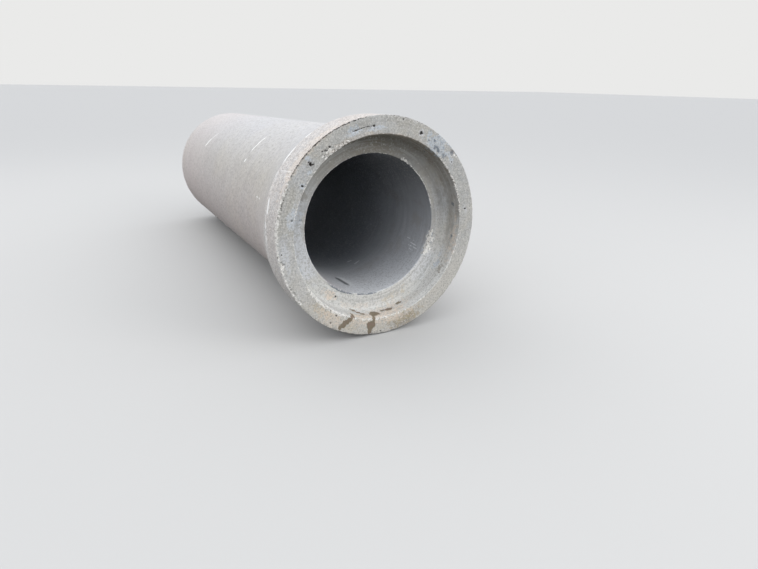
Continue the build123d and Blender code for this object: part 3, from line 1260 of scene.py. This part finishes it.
# The concrete's finish on each face of the casting. Sand grains and pinholes are 1 to 4 mm on the real pipe.
# They are drawn 7 to 14 mm apart and across, as coarse as they need to be to show from the camera.
FINISHES = {
    # Dry mix pressed against a steel jacket: an even, dusty grey with faint rings round the pipe
    Zone.BARREL: ConcreteFinish(
        "jacket_formed_concrete", "#BDBBB7",
        (Layer("#C3BEB2", 620, 619, 0.44, 0.6, 0.55), Layer("#B3B0B0", 260, 170, 0.5, 0.66, 0.35),
         Layer("#A9A7A4", 420, 34, 0.48, 0.66, 0.36), Layer("#CECCC8", 360, 40, 0.5, 0.68, 0.36),
         Layer("#A8A5A1", 60, 60, 0.5, 0.66, 0.2), Layer("#A7A29C", 130, 129, 0.5, 0.64, 0.25)),
        (Layer("#999692", 13, 13, 0.48, 0.64, 0.46), Layer("#D4D2CE", 12, 12, 0.48, 0.64, 0.44)),
        (Specks("#8C8882", 13, 6, 0.12, 0.4), Specks("#DAD8D4", 14, 6.5, 0.12, 0.2)),
        (Relief(300, 45, 0.7), Relief(70, 70, 0.8), Relief(14, 14, 0.7)),
        # The first grade, paler and bluish towards the top, is painted sky light on the upward side.
        grades=(Grade("#D3D5DA", "Z", 150, 400, 0.55), Grade("#CFC4C1", "Y", 1200, 2300, 0.4),
                Grade("#D3C3C1", "Z", 260, -140, 0.42)),
        scrapes_and_highlights=(ScrapeAndHighlight((303, 1802), (321, 1684), 7, strength=0.5, stray=9, broken=False),
                 ScrapeAndHighlight((302, 1808.6), (312, 1743), 9, stray=9, broken=False),
                 ScrapeAndHighlight((309, 833), (327.5, 811), 7.5, stray=7),
                 ScrapeAndHighlight((301.6, 839), (305, 831), 9, broken=False),
                 ScrapeAndHighlight((284, 492), (284.2, 398), 6, strength=0.6)),
    ),
    # The same mix round the bell, with more sand showing
    Zone.BAND: ConcreteFinish(
        "bell_band_concrete", "#C8C6C4",
        (Layer("#C9C0B9", 180, 120, 0.45, 0.62, 0.5), Layer("#B4B2B3", 130, 60, 0.5, 0.66, 0.35),
         Layer("#DBD8D4", 300, 16, 0.5, 0.66, 0.4), Layer("#B0ADAA", 260, 13, 0.5, 0.66, 0.3)),
        (Layer("#9D958F", 8.5, 8.5, 0.47, 0.6, 0.58), Layer("#F1ECE6", 8, 8, 0.49, 0.6, 0.58)),
        (Specks("#8F7F74", 8, 4, 0.2, 0.5), Specks("#F2EDE5", 8, 4, 0.2, 0.55)),
        (Relief(90, 40, 0.9), Relief(9, 9, 1)),
        grades=(Grade("#DCDAD7", "Z", 60, -160, 0.6),),
        # Along the ridge: partly rubbed wear and partly a painted highlight where the ridge catches the
        # light. The last two are scratches down the band to the face.
        scrapes_and_highlights=(ScrapeAndHighlight((247, 122), (331, 148), 6, RIDGE, strength=0.4, stray=3),
                 ScrapeAndHighlight((323.5, 152), (329, 149), 9, RIDGE, stray=2),
                 ScrapeAndHighlight((306, 156), (318.5, 147), 9.5, RIDGE, stray=2, broken=False),
                 ScrapeAndHighlight((292, 152), (304, 156), 6.5, RIDGE, strength=0.8, stray=2),
                 ScrapeAndHighlight((280, 116), (290, 130), 10, RIDGE, stray=2, broken=False),
                 ScrapeAndHighlight((264, 110), (279, 132), 7, RIDGE, strength=0.8, stray=2),
                 ScrapeAndHighlight((303.2, 146), (304.7, -6), 2.6, RIDGE, strength=0.5, stray=3, broken=False),
                 ScrapeAndHighlight((300.8, 120), (302.3, -6), 2.2, RIDGE, strength=0.45, stray=3)),
    ),
    # Struck off and left rough: blotched grey paste
    Zone.END_FACE: ConcreteFinish(
        "struck_face_concrete", "#BDBDB9",
        (Layer("#BEB9AC", 150, 150, 0.46, 0.6, 0.45), Layer("#A8ABAE", 90, 90, 0.48, 0.62, 0.45),
         Layer("#CFCFCC", 30, 30, 0.48, 0.64, 0.4), Layer("#A09F98", 260, 14, 0.5, 0.66, 0.4),
         Layer("#9D9C98", 24, 24, 0.5, 0.66, 0.35), Layer("#CBCCCC", 200, 19, 0.5, 0.66, 0.4)),
        (Layer("#8B8983", 7.5, 7.5, 0.48, 0.62, 0.5), Layer("#E0DED8", 7, 7, 0.5, 0.62, 0.58)),
        (Specks("#716E68", 9, 3.8, 0.1, 0.5), Specks("#ECE9E2", 9, 3.8, 0.1, 0.5)),
        (Relief(60, 60, 1.3), Relief(10, 10, 1.1)),
        grades=(Grade("#D6D1C6", "Z", 40, -330, 0.6),),
    ),
    # Cast against a steel pallet: smooth, with faint rings, darkened above by painted shade and lightened
    # below by painted light
    Zone.SOCKET: ConcreteFinish(
        "pallet_formed_concrete", "#C8C9C8",
        (Layer("#BEB8AA", 160, 60, 0.47, 0.62, 0.6), Layer("#A3A6A9", 120, 40, 0.48, 0.62, 0.5),
         Layer("#CFD1D2", 45, 45, 0.5, 0.66, 0.3), Layer("#A9A49D", 60, 60, 0.52, 0.64, 0.28)),
        (Layer("#908E89", 300, 9, 0.5, 0.64, 0.28), Layer("#DADCDC", 260, 8, 0.52, 0.66, 0.35),
         Layer("#7F7D78", 7.5, 7.5, 0.49, 0.63, 0.5), Layer("#CBCBC6", 7.5, 7.5, 0.5, 0.63, 0.42)),
        (Specks("#6F6C67", 9, 3.8, 0.08, 0.5), Specks("#EFEFEA", 9, 3.8, 0.08, 0.5)),
        (Relief(260, 10, 0.6), Relief(60, 60, 0.8), Relief(10, 10, 0.9)),
        # Painted light towards the bottom, painted shade in olive-brown towards the top
        grades=(Grade("#E2E1DC", "Z", 120, -200, 0.75), Grade("#7C776B", "Z", 120, 380, 0.85)),
    ),
    # Pressed against a turning core, darkened inside by painted shade and lightened near both open ends by
    # painted light
    Zone.BORE: ConcreteFinish(
        "core_pressed_concrete", "#B4B7BB",
        (Layer("#9EA1A6", 260, 200, 0.45, 0.62, 0.5), Layer("#C6C9CC", 300, 14, 0.5, 0.66, 0.4),
         Layer("#8F9094", 360, 11, 0.52, 0.66, 0.35), Layer("#9A948D", 150, 150, 0.52, 0.64, 0.4)),
        (Layer("#8C8D8E", 9, 9, 0.5, 0.63, 0.4), Layer("#C2C4C6", 9, 9, 0.52, 0.64, 0.25)),
        (Specks("#A9ACAE", 13, 5, 0.1, 0.2),),
        (Relief(260, 14, 0.5), Relief(13, 13, 0.6)),
        # Painted shade deeper in and towards the top, painted light low near the mouth and near the spigot's
        # open end, browner towards the left
        grades=(Grade("#6C727A", "Y", 150, 800, 0.82), Grade("#52555A", "Z", -40, 290, 0.8),
                Grade("#E6E9EC", "Z", 20, -300, 0.95, fades=640),
                Grade("#9C8C88", "X", -20, -260, 0.45, fades=900),
                Grade("#A9A9A6", "Y", 2330, 2520, 0.6)),
        scrapes_and_highlights=(ScrapeAndHighlight((187.6, 208), (189.6, 378), 38, BORE_WALL, "#E2E5E7", 0.8, 2, 1, False),
                 ScrapeAndHighlight((190.2, 212), (192.2, 374), 20, BORE_WALL, "#4B5055", 0.85, 2, 0.9, False),
                 ScrapeAndHighlight((164, 545), (158, 545), 9, BORE_WALL, "#DFE2E4", 0.5, 2),
                 ScrapeAndHighlight((162, 483), (154, 495), 8, BORE_WALL, "#DFE2E4", 0.55, 2),
                 ScrapeAndHighlight((115.6, 268), (116.6, 160), 3.6, BORE_WALL, "#EEF0F2", 0.75, 3),
                 ScrapeAndHighlight((118.4, 250), (119, 146), 3.4, BORE_WALL, "#EEF0F2", 0.75, 3),
                 ScrapeAndHighlight((112.8, 285), (113.6, 196), 3.4, BORE_WALL, "#EEF0F2", 0.65, 3),
                 ScrapeAndHighlight((121.6, 226), (121.2, 158), 3.2, BORE_WALL, "#EEF0F2", 0.65, 3),
                 ScrapeAndHighlight((127, 206), (125, 198), 8, BORE_WALL, "#D5D8DA", 0.5, 2),
                 ScrapeAndHighlight((153, 296), (151, 288), 9, BORE_WALL, "#D5D8DA", 0.45, 2)),
    ),
    # Rolled by the profile ring: smooth and close
    Zone.SPIGOT: ConcreteFinish(
        "ring_rolled_concrete", "#B9B7B2",
        (Layer("#C4C0B6", 160, 60, 0.46, 0.62, 0.6), Layer("#A6A6A4", 90, 40, 0.5, 0.66, 0.5)),
        (Layer("#8E8B86", 300, 9, 0.5, 0.66, 0.45), Layer("#D8D6D1", 11, 11, 0.52, 0.64, 0.4),
         Layer("#85827D", 12, 12, 0.51, 0.64, 0.45)),
        (Specks("#6F6C67", 13, 5, 0.12, 0.5), Specks("#E8E5DE", 13, 5.5, 0.14, 0.45)),
        (Relief(260, 10, 0.5), Relief(60, 60, 0.8), Relief(12, 12, 0.9)),
    ),
}


@dataclass(frozen=True)
class FittedCamera:
    """The photograph's viewpoint, found by fitting circles of the pipe to its edges.

    Attributes:
        focal_pixels: focal length in pixels of the photograph.
        image_width: the photograph's width in pixels.
        face_centre: the end face's centre in the camera's axes, right, down and ahead, in millimetres.
        yaw: how far the pipe's axis turns left as it goes away, in degrees.
        pitch: how far it drops in the image as it goes away, in degrees.
        tilt: how far the camera looks down below the horizon, in degrees.
        sensor_width: width of Blender's sensor, in millimetres.
        clip: nearest and farthest distance that it sees, in metres.
    """

    focal_pixels: float = 536.5
    image_width: float = 758.0
    face_centre: tuple[float, float, float] = (17.83, -220.70, 2217.18)
    yaw: float = 29.7011
    pitch: float = -17.0779
    tilt: float = 18.5
    sensor_width: float = 36.0
    clip: tuple[float, float] = (0.05, 300.0)

    def place(self, lie: Lie) -> bpy.types.Object:
        """Make the camera where it stood beside the pipe.

        Args:
            lie: how the pipe lies.

        Returns:
            The camera object.
        """
        yaw, pitch, tilt = (math.radians(a) for a in (self.yaw, self.pitch, self.tilt))
        away = Vector((-math.sin(yaw) * math.cos(pitch), math.sin(pitch), math.cos(yaw) * math.cos(pitch)))
        upward = Vector((0.0, -math.cos(tilt), -math.sin(tilt)))
        upward = (upward - away * upward.dot(away)).normalized()
        sideways = away.cross(upward)
        seen = Matrix((sideways, away, upward))
        turned = lie.matrix().to_3x3() @ seen
        right, down, ahead = (turned @ Vector(axis) for axis in ((1, 0, 0), (0, 1, 0), (0, 0, 1)))
        stand = lie.face_centre - turned @ (Vector(self.face_centre) * MM)
        data = bpy.data.cameras.new("camera")
        data.sensor_width = self.sensor_width
        data.lens = self.focal_pixels / self.image_width * self.sensor_width
        data.clip_start, data.clip_end = self.clip
        camera = add_object("camera", data)
        camera.matrix_world = Matrix.Translation(stand) @ Matrix((right, -down, -ahead)).transposed().to_4x4()
        bpy.context.scene.camera = camera
        return camera


@dataclass(frozen=True)
class Studio:
    """Plain pale floor and soft light.

    Attributes:
        floor_size: side of the square floor, in metres.
        floor_colour: sRGB hex of the floor as it is seen.
        bounce_colour: sRGB hex of the floor as it lights the pipe.
        floor_roughness: the floor's roughness.
        floor_specular: strength of the floor's sheen.
        backdrop_colour: sRGB hex of the backdrop as it is seen.
        sky_colour: sRGB hex of the light from all round.
        sky_strength: its strength.
        lamps: for each soft lamp, its name, power in watts, side in metres and place in metres.
        lamp_colour: sRGB hex of the lamps' light.
        aim: where the lamps point, in metres.
    """

    floor_size: float = 160.0
    floor_colour: str = "#C8C8C6"
    bounce_colour: str = "#61605C"
    floor_roughness: float = 0.95
    floor_specular: float = 0.1
    backdrop_colour: str = "#EAEAE9"
    sky_colour: str = "#F3F5FA"
    sky_strength: float = 1.28
    lamps: tuple[tuple[str, float, float, tuple[float, float, float]], ...] = (
        ("overhead", 45.0, 5.0, (-2.2, 1.6, 4.6)),
        ("front_right", 75.0, 3.0, (3.4, -5.2, 3.6)),
    )
    lamp_colour: str = "#FFFCF8"
    aim: tuple[float, float, float] = (0.0, -0.8, 0.4)

    def build(self) -> None:
        """Make the floor, the world and the lamps."""
        bm = bmesh.new()
        bmesh.ops.create_grid(bm, x_segments=1, y_segments=1, size=self.floor_size / 2)
        mesh = bpy.data.meshes.new("floor")
        bm.to_mesh(mesh)
        bm.free()
        floor = add_object("floor", mesh)
        mesh.materials.append(self._floor_material())
        self._world()
        for lamp in self.lamps:
            self._lamp(*lamp)

    def _floor_material(self) -> bpy.types.Material:
        """Make a matte finish that is pale to the eye and throws little light back up.

        Returns:
            The floor's material.
        """
        made = bpy.data.materials.new("pale_floor")
        tree = empty_tree(made)
        path = add_node(tree, "LightPath").outputs
        seen = add_node(tree, "Math", {0: path["Is Camera Ray"], 1: path["Is Glossy Ray"]},
                        operation="MAXIMUM")
        colour = add_node(tree, "Mix", {
            0: seen, 6: linear(self.bounce_colour), 7: linear(self.floor_colour),
        }, data_type="RGBA")
        shader = add_node(tree, "BsdfPrincipled", {
            "Base Color": colour, "Roughness": self.floor_roughness,
            "Specular IOR Level": self.floor_specular,
        })
        add_node(tree, "OutputMaterial", {"Surface": shader})
        return made

    def _world(self) -> None:
        """Light the scene evenly from all round, with a pale backdrop for the eye."""
        world = bpy.data.worlds.new("studio")
        bpy.context.scene.world = world
        tree = empty_tree(world)
        path = add_node(tree, "LightPath").outputs
        light = add_node(tree, "Background", {
            "Color": linear(self.sky_colour), "Strength": self.sky_strength,
        })
        backdrop = add_node(tree, "Background", {
            "Color": linear(self.backdrop_colour), "Strength": 1.0,
        })
        both = add_node(tree, "MixShader", {0: path["Is Camera Ray"], 1: light, 2: backdrop})
        add_node(tree, "OutputWorld", {"Surface": both})

    def _lamp(self, name: str, power: float, size: float, place: tuple[float, float, float]) -> None:
        """Hang one large soft lamp and aim it at the bell.

        Args:
            name: the lamp's name.
            power: its power in watts.
            size: its side in metres.
            place: where it hangs, in metres.
        """
        data = bpy.data.lights.new(name, "AREA")
        data.shape = "SQUARE"
        data.size = size
        data.energy = power
        data.color = linear(self.lamp_colour)[:3]
        turned = (Vector(self.aim) - Vector(place)).to_track_quat("-Z", "Y").to_matrix().to_4x4()
        add_object(name, data).matrix_world = Matrix.Translation(place) @ turned


def main() -> None:
    """Build the pipe, its studio and the camera."""
    logging.basicConfig(level=logging.INFO, format="%(name)s %(message)s")
    section = PipeSection()
    lie = Lie(FACE_CENTRE, section.slope())
    pipe = PipeCasting(section, lie, Weathering(section))
    casting = pipe.build()
    pipe.dress(casting)
    triangles = sum(len(polygon.vertices) - 2 for polygon in casting.data.polygons)
    log.info("%s: %d triangles, %d finishes", casting.name, triangles, len(casting.data.materials))
    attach(casting, "root")
    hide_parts("concrete_pipe")
    studio = Studio()
    studio.build()
    log.info("studio: floor, world and %d lamps", len(studio.lamps))
    camera = FittedCamera().place(lie)
    log.info("%s at %s", camera.name, [round(v, 3) for v in camera.matrix_world.translation])
    bpy.context.scene.view_settings.view_transform = "Standard"


if __name__ == "__main__":
    main()
